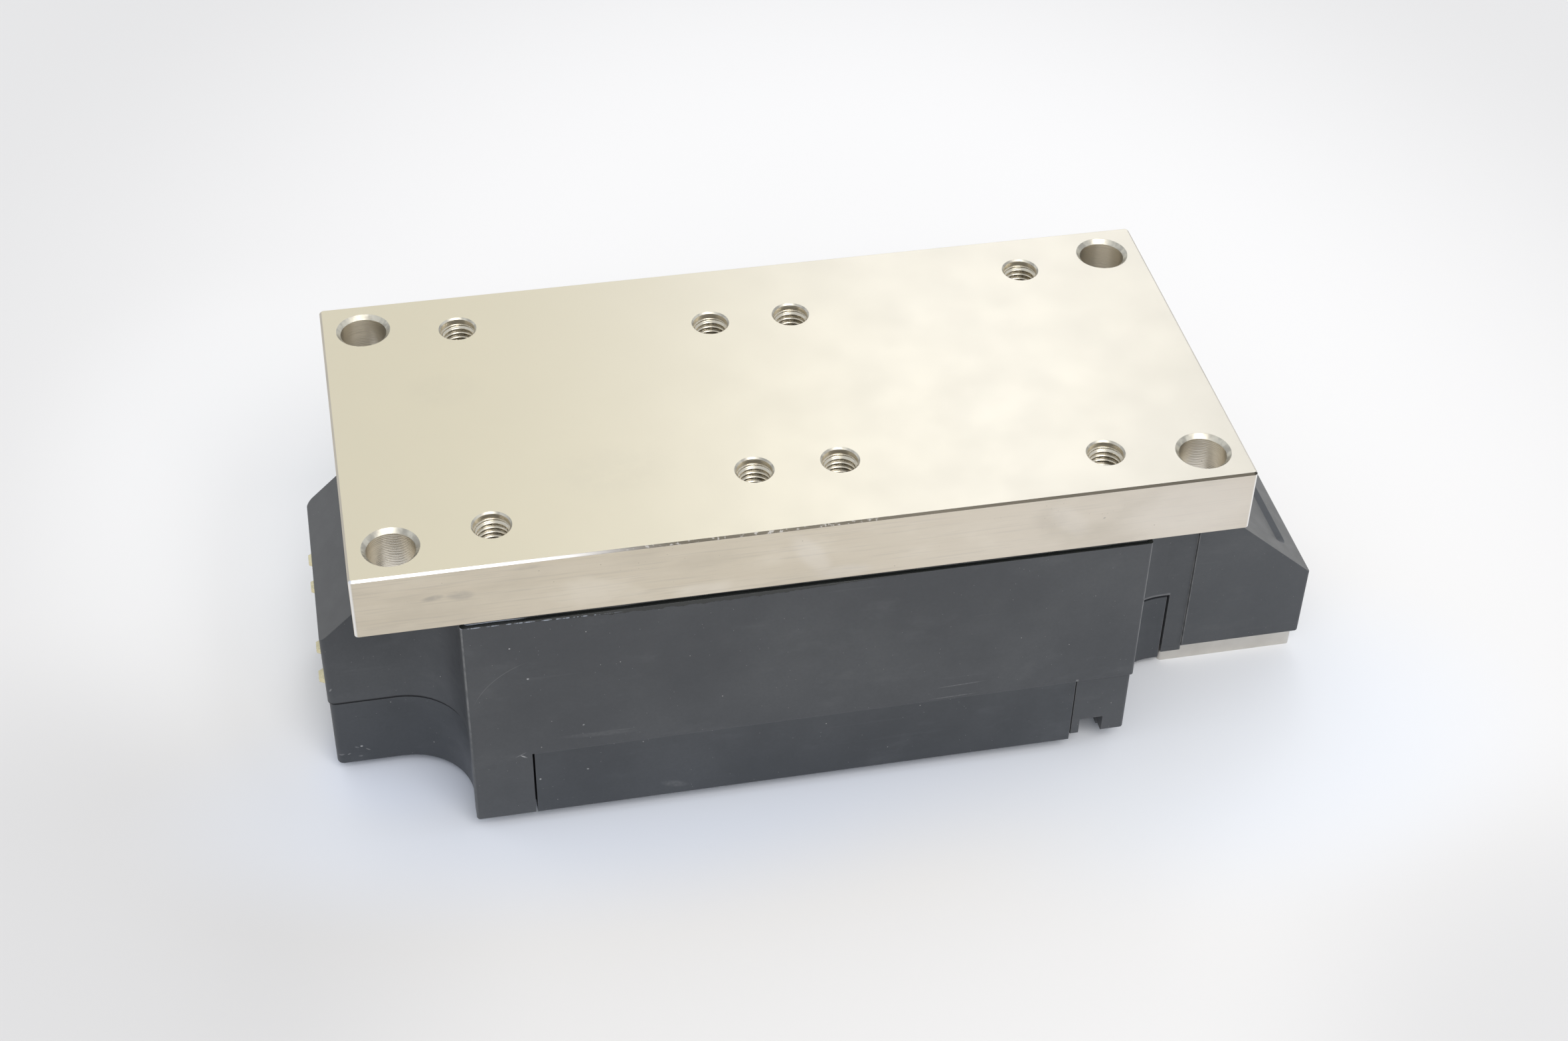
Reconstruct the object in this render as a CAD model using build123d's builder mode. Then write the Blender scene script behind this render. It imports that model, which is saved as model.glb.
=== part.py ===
from build123d import *
import os
from math import atan2, cos, degrees, hypot, radians, sin, sqrt, tan

# A pressure-contact power module with two disc cells, lying on its terminal plates with
# its base plate up. Lengths are in millimetres. The origin is the centre of the mounting
# face, +Z points out of that face and +X runs along the module towards terminal 1.
# Every value called a depth is measured from the mounting face into the module.

# Clamp screws and the room that their heads need
screw_diameter = 5.0
screw_length = 25.0
screw_tip_chamfer = 0.5
head_diameter = 8.5
head_height = 5.0
socket_width = 4.0
socket_depth = 2.5
head_clearance = 0.35
thread_clearance = 0.05
yoke_hole_diameter = 5.5

# Spacing of the screws and the cells between them
screw_spacing_x = 36.5
inner_screw_gap = 12.0
screw_step_y = 5.0
cell_to_screw = 1.25
cell_thickness = 5.0
cell_face_step = 1.0
ring_clearance = 0.5
ring_wall = 1.3
ring_end_gap = 0.3

# Walls of the housing and rounding of its corners
side_wall = 2.4
end_wall = 2.05
head_wall = 1.15
head_to_side_wall = 1.35
neck_wall = 2.0
neck_shoulder = 5.6
edge_radius = 0.5
rim_radius = 0.4

# Base plate
plate_width = 60.0
plate_thickness = 10.0
plate_chamfer = 0.3
plate_back_chamfer = 0.15
plate_corner = 0.6
mount_hole_diameter = 6.6
mount_hole_chamfer = 0.6
mount_hole_edge = 6.0
mount_hole_to_body = 7.75
tapped_hole_chamfer = 0.25

# The stack under the base plate, piece by piece
seal_thickness = 0.7
seal_inset = 0.15
insulator_thickness = 2.0
insulator_margin = 3.0
bar_thickness = 3.2
cap_thickness = 1.5
cap_rim = 0.9
cap_clearance = 0.1
spring_thickness = 0.8
spring_rise = 0.4
spring_inset = 2.5
spring_inner_radius = 5.2
yoke_thickness = 4.0
yoke_rim = 0.1
yoke_to_riser = 1.4
yoke_to_bar = 1.5
sheet_thickness = 1.5
sheet_to_head = 0.6
divider_thickness = 1.2
divider_margin = 0.5

# Terminal bars, their plates and the nuts below them
bar_to_head = 2.75
bend_radius = 2.6
riser_clearance = 0.45
bar_to_ring = 0.05
terminal_length = 21.4
terminal_hole_diameter = 11.0
terminal_to_body = 21.25
last_terminal_x = -0.5
riser_gap = 0.6
slot_clearance = 0.2
nut_width = 16.0
nut_height = 8.0
nut_bore_diameter = 8.5
nut_clearance = 0.1
bolt_relief_depth = 4.0

# Steps in height of the housing and the lid, from the screw heads down to the barriers
parting_to_head = 0.4
boss_gap = 2.5
boss_floor = 1.2
boss_wall = 3.0
seat_recess = 1.1
gate_end_step = 0.5
barrier_height = 0.8
barrier_thickness = 2.0
barrier_end_gap = 10.0
cover_thickness = 2.5
lid_wall = 2.2
parting_gap = 0.4
lid_inset = 0.2
post_clearance = 0.2

# Gate end: the neck that slopes down to the gate tabs
gate_half_width = 15.2
gate_slope_start = 4.95
gate_length = 18.95
gate_slope_drop = 13.3
gate_block_length = 5.2
gate_corner = 1.0
tab_width = 2.8
tab_thickness = 0.8
tab_tip_width = 1.4
tab_tip_length = 1.1
tab_projection = 0.8
tab_tail_width = 1.8
tab_tail_length = 3.4
tab_to_parting = 3.3
tab_edge = 2.7
tab_spacing = 6.0
tab_clearance = 0.05

# Terminal end: the neck and the block that carries terminal 1
terminal_half_width = 15.0
terminal_neck_inset = 0.3
terminal_slope_start = 5.55
terminal_slope_drop = 24.3
block_step = 3.1
block_end_margin = 0.7
guide_height = 0.9
guide_wall = 0.4
guide_clearance = 0.1
facet_margin = 3.6
facet_corner = 2.0
facet_recess = 0.6
facet_taper = 60.0
lid_end_gap = 0.4

# Side skirt of the lid, the corner posts of the housing and the slits between them
post_length = 8.45
post_step = 0.3
post_lift = 0.8
slit_width = 0.3
notch_to_slit = 1.2
notch_width = 3.5
notch_height = 3.8
notch_reach = 6.0
lip_thickness = 1.3
lip_height = 2.3
lip_end_gap = 3.2
lip_clearance = 0.1
lip_foot = 1.0

# Gate leads
lead_radius = 0.6
lead_spacing = 2.4
lead_step = 2.0
lead_to_cover = 4.0
lead_clearance = 0.6
lead_hole_clearance = 0.2
lead_end_gap = 0.05
lead_bend_radius = 3.0
lead_turn_start = 14.0
lead_turn_end = 2.0

# How far an added feature starts inside the body that carries it
embed = 1.0

# Levels worked out from the stack
rim_depth = plate_thickness + seal_thickness
lower_bar_depth = plate_thickness + insulator_thickness
cell_depth = lower_bar_depth + bar_thickness
upper_bar_depth = cell_depth + cell_thickness
cap_depth = upper_bar_depth + bar_thickness
spring_depth = cap_depth + cap_thickness
yoke_depth = spring_depth + spring_rise + 2 * spring_thickness
head_depth = yoke_depth + yoke_thickness
run_depth = head_depth + sheet_thickness
parting_depth = head_depth + head_height + parting_to_head
boss_depth = run_depth + bar_thickness + boss_gap
seat_depth = boss_depth + boss_floor + nut_clearance + nut_height
guide_depth = seat_depth + guide_height
lid_depth = seat_depth + seat_recess
gate_end_depth = lid_depth + gate_end_step
barrier_depth = lid_depth + barrier_height
lid_inside_depth = lid_depth - cover_thickness
notch_depth = lid_depth - notch_height
tab_depth = parting_depth - tab_to_parting
lead_depth = lid_inside_depth - lead_to_cover
gate_slope_end_depth = rim_depth + gate_slope_drop
terminal_slope_end_depth = rim_depth + terminal_slope_drop

# Plan positions worked out from the screws and the walls
cell_x = (screw_spacing_x + inner_screw_gap) / 2
outer_screw_x = cell_x + screw_spacing_x / 2
inner_screw_x = cell_x - screw_spacing_x / 2
relief_radius = head_diameter / 2 + head_clearance
main_half_length = outer_screw_x + relief_radius + head_wall
main_half_width = plate_width / 2
cavity_half_length = main_half_length - end_wall
cavity_half_width = main_half_width - side_wall
outer_screw_y = cavity_half_width - head_to_side_wall - head_diameter / 2
inner_screw_y = outer_screw_y - screw_step_y
mount_x = main_half_length + mount_hole_to_body
mount_y = main_half_width - mount_hole_edge
plate_length = 2 * (mount_x + mount_hole_edge)

# Radii of the round pieces in each stack
cell_radius = screw_spacing_x / 2 - cell_to_screw
cell_face_radius = cell_radius - cell_face_step
insulator_radius = cell_radius + insulator_margin
spring_outer_radius = cell_radius - spring_inset
cap_radius = cell_radius + cap_rim
ring_inner_radius = cell_radius + ring_clearance
ring_outer_radius = ring_inner_radius + ring_wall

# Necks, posts and skirt
neck_fillet = main_half_width - max(gate_half_width, terminal_half_width) - neck_shoulder
neck_half_width = terminal_half_width - terminal_neck_inset
gate_end_x = -(main_half_length + gate_length)
gate_slope_x = -(main_half_length + gate_slope_start)
gate_block_x = gate_end_x + gate_block_length
terminal_slope_x = main_half_length + terminal_slope_start
skirt_half_length = main_half_length - post_length - slit_width
notch_x = skirt_half_length + slit_width + notch_to_slit + notch_width / 2
tab_outer_y = gate_half_width - tab_edge
tab_inner_y = tab_outer_y - tab_spacing
tab_points = [-tab_outer_y, -tab_inner_y, tab_inner_y, tab_outer_y]

# Terminals and the bars that lead to them
bar_width = 2 * (inner_screw_y - head_diameter / 2 - bar_to_head)
slot_width = bar_width + 2 * slot_clearance
terminal_width = 2 * (neck_half_width - guide_wall - guide_clearance)
terminal_1_x = main_half_length + terminal_to_body
terminal_pitch = (terminal_1_x - last_terminal_x) / 2
terminal_xs = [terminal_1_x - n * terminal_pitch for n in range(3)]
terminal_end_x = terminal_1_x + terminal_length / 2 + block_end_margin
terminal_plate_depth = seat_depth + bar_thickness / 2
riser_offset = (terminal_length + bar_thickness) / 2 + riser_gap
riser_xs = [x - riser_offset for x in terminal_xs]
riser_x = cell_x - ring_outer_radius - riser_clearance - bar_thickness / 2
inner_bend = bend_radius - bar_thickness / 2
block_start = terminal_1_x - terminal_length / 2
block_step_x = block_start + block_step
lid_end_x = block_start - lid_end_gap

cells = {"a": 1, "b": -1}
screw_points = [
    (side * x, sign * y)
    for side in (1, -1)
    for x, y in ((outer_screw_x, outer_screw_y), (inner_screw_x, inner_screw_y))
    for sign in (1, -1)
]


def level(depth):
    """Plane at a depth below the mounting face, with its normal out of that face."""
    return Plane.XY.offset(-depth)


def finish(part, name):
    """Label a finished piece and write it as its own file."""
    part.label = name
    os.makedirs("parts", exist_ok=True)
    export_step(part, f"parts/{name}.step")


def near(value, target):
    """True for two places that are the same apart from rounding."""
    return abs(value - target) < 0.01


def neck_outline(inset, gate_x, terminal_x, terminal_y, body_x, body_y):
    """Plan outline of the main body with both necks, whose inner corners are rounded."""
    with BuildSketch() as outline:
        Rectangle(2 * body_x, 2 * body_y)
        Rectangle(plate_length, 2 * (gate_half_width - inset), align=(Align.MAX, Align.CENTER))
        Rectangle(plate_length, 2 * terminal_y, align=(Align.MIN, Align.CENTER))
        at_body = outline.vertices().filter_by(lambda v: near(abs(v.X), body_x))
        fillet(at_body.filter_by(lambda v: near(abs(v.Y), body_y)), radius=edge_radius)
        at_necks = outline.vertices().filter_by(
            lambda v: near(abs(v.X), body_x) and abs(v.Y) < body_y - neck_fillet / 2
        )
        fillet(at_necks, radius=neck_fillet + inset)
        with Locations(((gate_x + terminal_x) / 2, 0)):
            Rectangle(terminal_x - gate_x, plate_width, mode=Mode.INTERSECT)
        at_gate_end = outline.vertices().filter_by(lambda v: near(v.X, gate_x))
        fillet(at_gate_end, radius=gate_corner)
    return outline.sketch


def bent_bar(points, width):
    """A flat bar of the common thickness that follows bends in the XZ plane."""
    with BuildPart() as bar:
        with BuildLine(Plane.XZ) as path:
            FilletPolyline(*points, radius=bend_radius)
        with BuildSketch(Plane(origin=path.line @ 0, x_dir=(0, 1, 0), z_dir=path.line % 0)):
            Rectangle(width, bar_thickness)
        sweep(path=path.line)
    return bar.part


# Base plate: mounting holes through the corners, tapped holes for the clamp screws

with BuildPart() as base_plate:
    with BuildSketch(level(0)):
        RectangleRounded(plate_length, plate_width, plate_corner)
    extrude(amount=-plate_thickness)
    chamfer(base_plate.edges().group_by(Axis.Z)[-1], length=plate_chamfer)
    chamfer(base_plate.edges().group_by(Axis.Z)[0], length=plate_back_chamfer)
    with GridLocations(2 * mount_x, 2 * mount_y, 2, 2):
        CounterSinkHole(
            radius=mount_hole_diameter / 2,
            counter_sink_radius=mount_hole_diameter / 2 + mount_hole_chamfer,
            counter_sink_angle=90,
        )
    with Locations(*screw_points):
        CounterSinkHole(
            radius=screw_diameter / 2,
            counter_sink_radius=screw_diameter / 2 + tapped_hole_chamfer,
            counter_sink_angle=90,
        )
finish(base_plate.part, "base_plate")

# Adhesive seal between the base plate and the rim of the housing

with BuildPart() as base_seal:
    with BuildSketch(level(plate_thickness)):
        Rectangle(2 * (main_half_length - seal_inset), 2 * (main_half_width - seal_inset))
        Rectangle(2 * cavity_half_length, 2 * cavity_half_width, mode=Mode.SUBTRACT)
    extrude(amount=-seal_thickness)
finish(base_seal.part, "base_seal")

# Housing: main body, gate end and terminal end moulded as one piece

terminal_slope = terminal_slope_drop / (terminal_end_x - terminal_slope_x)
gate_slope = gate_slope_drop / (gate_slope_x - gate_end_x)
neck_roof_depth = rim_depth + neck_wall
terminal_roof_wall = neck_wall + facet_recess
guide_y = neck_half_width - guide_wall / 2


def terminal_roof(x, wall):
    """Depth of the terminal end's slope at x, measured that wall thickness inside it."""
    return rim_depth + (x - terminal_slope_x) * terminal_slope + wall * hypot(1, terminal_slope)


def gate_roof(x, wall):
    """Depth of the gate end's slope at x, measured that wall thickness inside it."""
    return rim_depth + (gate_slope_x - x) * gate_slope + wall * hypot(1, gate_slope)


gate_roof_x = gate_slope_x + (gate_roof(gate_slope_x, neck_wall) - neck_roof_depth) / gate_slope
terminal_roof_x = (
    terminal_slope_x
    - (terminal_roof(terminal_slope_x, terminal_roof_wall) - neck_roof_depth) / terminal_slope
)
facet_length = hypot(terminal_end_x - terminal_slope_x, terminal_slope_drop)
facet_angle = degrees(atan2(terminal_slope_drop, terminal_end_x - terminal_slope_x))
facet_plane = Plane(
    origin=(
        (terminal_slope_x + terminal_end_x) / 2,
        0,
        -(rim_depth + terminal_slope_end_depth) / 2,
    ),
    x_dir=(cos(radians(facet_angle)), 0, -sin(radians(facet_angle))),
    z_dir=(sin(radians(facet_angle)), 0, cos(radians(facet_angle))),
)

with BuildPart() as housing:
    with BuildSketch(level(rim_depth)):
        add(
            neck_outline(
                0,
                gate_end_x,
                block_step_x,
                neck_half_width,
                main_half_length,
                main_half_width,
            )
        )
    extrude(amount=-(parting_depth - rim_depth))
    # Block under terminal 1, a little wider than its neck and down to the terminal seat
    with BuildSketch(level(rim_depth)) as block_outline:
        with Locations(((block_step_x + terminal_end_x) / 2, 0)):
            Rectangle(terminal_end_x - block_step_x, 2 * terminal_half_width)
        fillet(block_outline.vertices().group_by(Axis.X)[-1], radius=edge_radius)
    extrude(amount=-(seat_depth - rim_depth))
    with BuildSketch(level(parting_depth)):
        with Locations(((block_start + block_step_x) / 2, 0)):
            Rectangle(block_step_x - block_start, 2 * neck_half_width)
    extrude(amount=-(seat_depth - parting_depth))
    block_rims = housing.edges().filter_by(
        lambda e: near(e.center().Z, -seat_depth) and near(e.center().X, terminal_end_x)
    )
    fillet(block_rims, radius=rim_radius)
    # Low guide walls beside the terminal bar
    with BuildSketch(level(seat_depth)):
        with Locations(*[((block_start + block_step_x) / 2, s * guide_y) for s in (1, -1)]):
            Rectangle(block_step_x - block_start, guide_wall)
    extrude(amount=-(guide_depth - seat_depth))
    # Corner posts beside the lid's skirt; those at the terminal end stand back a little
    for side, inset, lift in ((-1, 0, 0), (1, post_step, post_lift)):
        post_inner_x = skirt_half_length + slit_width
        post_outer_x = main_half_length - inset
        post_outer_y = main_half_width - inset
        post_x = side * (post_inner_x + post_outer_x) / 2
        post_y = (cavity_half_width + post_outer_y) / 2
        with BuildSketch(level(parting_depth)) as posts:
            with Locations((post_x, post_y), (post_x, -post_y)):
                Rectangle(post_outer_x - post_inner_x, post_outer_y - cavity_half_width)
            corners = posts.vertices().sort_by(lambda v: hypot(v.X, v.Y))[-2:]
            fillet(corners, radius=edge_radius)
        extrude(amount=-(lid_depth - lift - parting_depth))
        post_feet = housing.edges().filter_by(
            lambda e: near(e.center().Z, lift - lid_depth)
            and (
                abs(e.center().X) > post_outer_x - edge_radius
                or abs(e.center().Y) > post_outer_y - edge_radius
            )
        )
        fillet(post_feet, radius=rim_radius)
    # Slopes of both necks
    with BuildSketch(Plane.XZ):
        with BuildLine():
            Polyline(
                (terminal_slope_x, 0),
                (terminal_slope_x, -rim_depth),
                (terminal_end_x, -terminal_slope_end_depth),
                (2 * terminal_end_x, -terminal_slope_end_depth),
                (2 * terminal_end_x, 0),
                close=True,
            )
        make_face()
        with BuildLine():
            Polyline(
                (gate_slope_x, 0),
                (gate_slope_x, -rim_depth),
                (gate_end_x, -gate_slope_end_depth),
                (2 * gate_end_x, -gate_slope_end_depth),
                (2 * gate_end_x, 0),
                close=True,
            )
        make_face()
    extrude(amount=plate_width, both=True, mode=Mode.SUBTRACT)
    # Shallow dished field in the terminal end's slope
    with BuildSketch(facet_plane) as field:
        Rectangle(facet_length - 2 * facet_margin, 2 * (terminal_half_width - facet_margin))
        fillet(field.vertices(), radius=facet_corner)
    extrude(amount=-facet_recess, taper=facet_taper, mode=Mode.SUBTRACT)
    # Room for the cells and the clamps, open to the base plate and to the lid
    with BuildSketch(level(rim_depth)):
        Rectangle(2 * cavity_half_length, 2 * cavity_half_width)
    extrude(amount=-(parting_depth - rim_depth), mode=Mode.SUBTRACT)
    with BuildSketch(level(yoke_depth - embed)):
        with GridLocations(2 * outer_screw_x, 2 * outer_screw_y, 2, 2):
            Circle(relief_radius)
    extrude(amount=-(parting_depth - yoke_depth + embed), mode=Mode.SUBTRACT)
    # Room in the necks for the gate leads and for terminal bar 1
    with BuildSketch(Plane.XZ):
        with BuildLine():
            Polyline(
                (embed - cavity_half_length, -neck_roof_depth),
                (gate_roof_x, -neck_roof_depth),
                (gate_block_x, -gate_roof(gate_block_x, neck_wall)),
                (gate_block_x, -parting_depth),
                (embed - cavity_half_length, -parting_depth),
                close=True,
            )
        make_face()
    extrude(amount=gate_half_width - neck_wall, both=True, mode=Mode.SUBTRACT)
    with BuildSketch(Plane.XZ):
        with BuildLine():
            Polyline(
                (cavity_half_length - embed, -neck_roof_depth),
                (terminal_roof_x, -neck_roof_depth),
                (block_start, -terminal_roof(block_start, terminal_roof_wall)),
                (block_start, -parting_depth),
                (cavity_half_length - embed, -parting_depth),
                close=True,
            )
        make_face()
    extrude(amount=neck_half_width - neck_wall, both=True, mode=Mode.SUBTRACT)
    # Pocket for the nut of terminal 1 and room for the end of its bolt
    with BuildSketch(level(seat_depth)):
        with Locations((terminal_1_x, 0)):
            RegularPolygon(nut_width / 2 + nut_clearance, 6, major_radius=False)
    extrude(amount=nut_height + nut_clearance, mode=Mode.SUBTRACT)
    with BuildSketch(level(seat_depth - nut_height)):
        with Locations((terminal_1_x, 0)):
            Circle(terminal_hole_diameter / 2)
    extrude(amount=bolt_relief_depth, mode=Mode.SUBTRACT)
    # Edge of the terminal seat, cut back where terminal bar 1 bends over it
    with BuildSketch(level(seat_depth)):
        with Locations((riser_xs[0], 0)):
            Rectangle(
                bar_thickness / 2 + inner_bend + slot_clearance,
                slot_width,
                align=(Align.MIN, Align.CENTER),
            )
    extrude(amount=inner_bend + slot_clearance, mode=Mode.SUBTRACT)
    # Slots in the gate end's thick end wall, one for each gate tab
    with BuildSketch(Plane.YZ.offset(gate_block_x)):
        with Locations(*[(y, -tab_depth) for y in tab_points]):
            Rectangle(tab_width + 2 * tab_clearance, tab_thickness + 2 * tab_clearance)
    extrude(amount=-gate_block_length, mode=Mode.SUBTRACT)
    # Notches in the posts at the terminal end
    with BuildSketch(level(notch_depth)):
        with Locations((notch_x, main_half_width), (notch_x, -main_half_width)):
            Rectangle(notch_width, 2 * notch_reach)
    extrude(amount=-notch_height, mode=Mode.SUBTRACT)
finish(housing.part, "housing")

# Lid: cover plate with side skirts, the lower halves of the necks and the nut bosses


def seat_start(x):
    """Where the recess for the terminal plate at x starts, on the side of its riser."""
    return x - riser_offset - bar_thickness / 2 - slot_clearance


def seat_end(x):
    """Where the recess for the terminal plate at x ends."""
    return x + terminal_length / 2 + slot_clearance


def lid_outline(inset):
    """Plan outline of the lid, with its flush skirts, at that distance inside its sides."""
    with BuildSketch() as outline:
        add(
            neck_outline(
                lid_inset + inset,
                gate_end_x + lid_inset + inset,
                lid_end_x - inset,
                neck_half_width - inset,
                main_half_length - lid_inset - inset,
                cavity_half_width - post_clearance - inset,
            )
        )
        Rectangle(2 * (skirt_half_length - inset), 2 * (main_half_width - inset))
    return outline.sketch


raised_ends = (
    (gate_end_depth, gate_end_x, lid_inset - main_half_length),
    (barrier_depth, main_half_length - lid_inset, terminal_end_x),
)
barrier_x = (seat_end(terminal_xs[2]) + seat_start(terminal_xs[1])) / 2
lip_y = cavity_half_width - lip_clearance - lip_thickness / 2
lip_length = 2 * (skirt_half_length - lip_end_gap)

with BuildPart() as lid:
    with BuildSketch(level(parting_depth)):
        add(lid_outline(0))
    extrude(amount=-(lid_depth - parting_depth))
    # Gate end and terminal neck stand a little higher than the main body
    for end_depth, start_x, end_x in raised_ends:
        with BuildSketch(level(lid_depth - embed)):
            add(lid_outline(0))
            with Locations(((start_x + end_x) / 2, 0)):
                Rectangle(end_x - start_x, plate_width, mode=Mode.INTERSECT)
        extrude(amount=-(end_depth - lid_depth + embed))
    # Rounded rims of the skirts and of the gate end
    skirt_rims = lid.edges().filter_by(
        lambda e: near(e.center().Z, -lid_depth) and near(abs(e.center().Y), main_half_width)
    )
    gate_rims = lid.edges().filter_by(
        lambda e: near(e.center().Z, -gate_end_depth) and near(e.center().X, gate_end_x + lid_inset)
    )
    fillet(skirt_rims + gate_rims, radius=rim_radius)
    # Hollow inside
    with BuildSketch(level(parting_depth)):
        add(lid_outline(lid_wall))
    extrude(amount=-(lid_inside_depth - parting_depth), mode=Mode.SUBTRACT)
    # The ends stop short of the housing and leave the visible gap
    with BuildSketch(level(parting_depth)):
        for side in (1, -1):
            with Locations((side * (skirt_half_length + plate_length / 2), 0)):
                Rectangle(plate_length, plate_width)
    extrude(amount=-parting_gap, mode=Mode.SUBTRACT)
    # Lips that reach inside the housing's side walls
    with BuildSketch(level(parting_depth - lip_height)):
        with Locations((0, lip_y), (0, -lip_y)):
            Rectangle(lip_length, lip_thickness)
    extrude(amount=-(lid_inside_depth - parting_depth + lip_height))
    with BuildSketch(level(parting_depth)):
        with Locations((0, cavity_half_width), (0, -cavity_half_width)):
            Rectangle(lip_length, lip_foot)
    extrude(amount=-(lid_inside_depth - parting_depth))
    # Bosses for the nuts of terminals 2 and 3
    with BuildSketch(level(boss_depth)):
        with Locations(*[(x, 0) for x in terminal_xs[1:]]):
            Rectangle(nut_width + 2 * boss_wall, nut_width + 2 * boss_wall)
    extrude(amount=-(lid_inside_depth - boss_depth))
    # Creepage barrier across the cover plate
    with BuildSketch(level(lid_depth)):
        with Locations((barrier_x, 0)):
            Rectangle(barrier_thickness, 2 * (main_half_width - barrier_end_gap))
    extrude(amount=-barrier_height)
    # Seats, nut pockets and slots for the terminal bars
    with BuildSketch(level(seat_depth)):
        for x in terminal_xs[1:]:
            with Locations(((seat_start(x) + seat_end(x)) / 2, 0)):
                Rectangle(seat_end(x) - seat_start(x), terminal_width + 2 * slot_clearance)
    extrude(amount=-(barrier_depth - seat_depth), mode=Mode.SUBTRACT)
    with BuildSketch(level(seat_depth)):
        with Locations(*[(x, 0) for x in terminal_xs[1:]]):
            RegularPolygon(nut_width / 2 + nut_clearance, 6, major_radius=False)
    extrude(amount=nut_height + nut_clearance, mode=Mode.SUBTRACT)
    with BuildSketch(level(parting_depth)):
        for x in riser_xs:
            with Locations((x, 0)):
                Rectangle(bar_thickness + 2 * slot_clearance, slot_width)
                Rectangle(
                    bar_thickness / 2 + inner_bend + slot_clearance,
                    slot_width,
                    align=(Align.MIN, Align.CENTER),
                )
        with Locations((riser_xs[0], 0)):
            Rectangle(block_start - riser_xs[0], slot_width, align=(Align.MIN, Align.CENTER))
    extrude(amount=-(barrier_depth - parting_depth), mode=Mode.SUBTRACT)
    # Notches that line up with those in the posts
    with BuildSketch(level(notch_depth)):
        with Locations((notch_x, main_half_width), (notch_x, -main_half_width)):
            Rectangle(notch_width, 2 * notch_reach)
    extrude(amount=-notch_height, mode=Mode.SUBTRACT)
finish(lid.part, "lid")

# Terminal bars: bar 1 joins the lower faces of both cells, bars 2 and 3 leave their tops

lower_bar_middle = lower_bar_depth + bar_thickness / 2
upper_bar_middle = upper_bar_depth + bar_thickness / 2
run_middle = run_depth + bar_thickness / 2
bar_1_bend_x = cell_x + ring_outer_radius + bend_radius * tan(radians(22.5)) + bar_to_ring
bar_1_drop = riser_xs[0] - bar_1_bend_x


def terminal_plate(x):
    """Terminal plate with rounded corners, over the nut at x."""
    with BuildPart() as plate:
        with BuildSketch(level(seat_depth)):
            with Locations((x, 0)):
                RectangleRounded(terminal_length, terminal_width, edge_radius)
        extrude(amount=-bar_thickness)
    return plate.part


def contact_pad(x, depth):
    """Round contact pad of a terminal bar against a cell."""
    with BuildPart() as pad:
        with BuildSketch(level(depth)):
            with Locations((x, 0)):
                Circle(cell_radius)
        extrude(amount=-bar_thickness)
    return pad.part


bar_routes = [
    [
        (-cell_x, -lower_bar_middle),
        (bar_1_bend_x, -lower_bar_middle),
        (riser_xs[0], -lower_bar_middle - bar_1_drop),
        (riser_xs[0], -terminal_plate_depth),
        (terminal_xs[0], -terminal_plate_depth),
    ],
    [
        (cell_x, -upper_bar_middle),
        (riser_x, -upper_bar_middle),
        (riser_x, -run_middle),
        (riser_xs[1], -run_middle),
        (riser_xs[1], -terminal_plate_depth),
        (terminal_xs[1], -terminal_plate_depth),
    ],
    [
        (-cell_x, -upper_bar_middle),
        (-riser_x, -upper_bar_middle),
        (-riser_x, -run_middle),
        (riser_xs[2], -run_middle),
        (riser_xs[2], -terminal_plate_depth),
        (terminal_xs[2], -terminal_plate_depth),
    ],
]
bar_pads = [
    [(-cell_x, lower_bar_depth), (cell_x, lower_bar_depth)],
    [(cell_x, upper_bar_depth)],
    [(-cell_x, upper_bar_depth)],
]
for number, (route, pads, terminal_x) in enumerate(zip(bar_routes, bar_pads, terminal_xs), 1):
    with BuildPart() as terminal_bar:
        add(bent_bar(route, bar_width))
        for pad_x, pad_depth in pads:
            add(contact_pad(pad_x, pad_depth))
        add(terminal_plate(terminal_x))
        with BuildSketch(level(seat_depth)):
            with Locations((terminal_x, 0)):
                Circle(terminal_hole_diameter / 2)
        extrude(amount=-bar_thickness, mode=Mode.SUBTRACT)
    finish(terminal_bar.part, f"terminal_bar_{number}")

# Captive nuts below the terminal plates

with BuildPart() as terminal_nuts:
    with BuildSketch(level(seat_depth)):
        with Locations(*[(x, 0) for x in terminal_xs]):
            RegularPolygon(nut_width / 2, 6, major_radius=False)
            Circle(nut_bore_diameter / 2, mode=Mode.SUBTRACT)
    extrude(amount=nut_height)
finish(terminal_nuts.part, "terminal_nuts")

# The clamped stack of each cell

lead_start_depth = cell_depth + cell_thickness / 2
ring_height = upper_bar_depth - lower_bar_depth - ring_end_gap
cap_skirt = bar_thickness / 2

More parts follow.
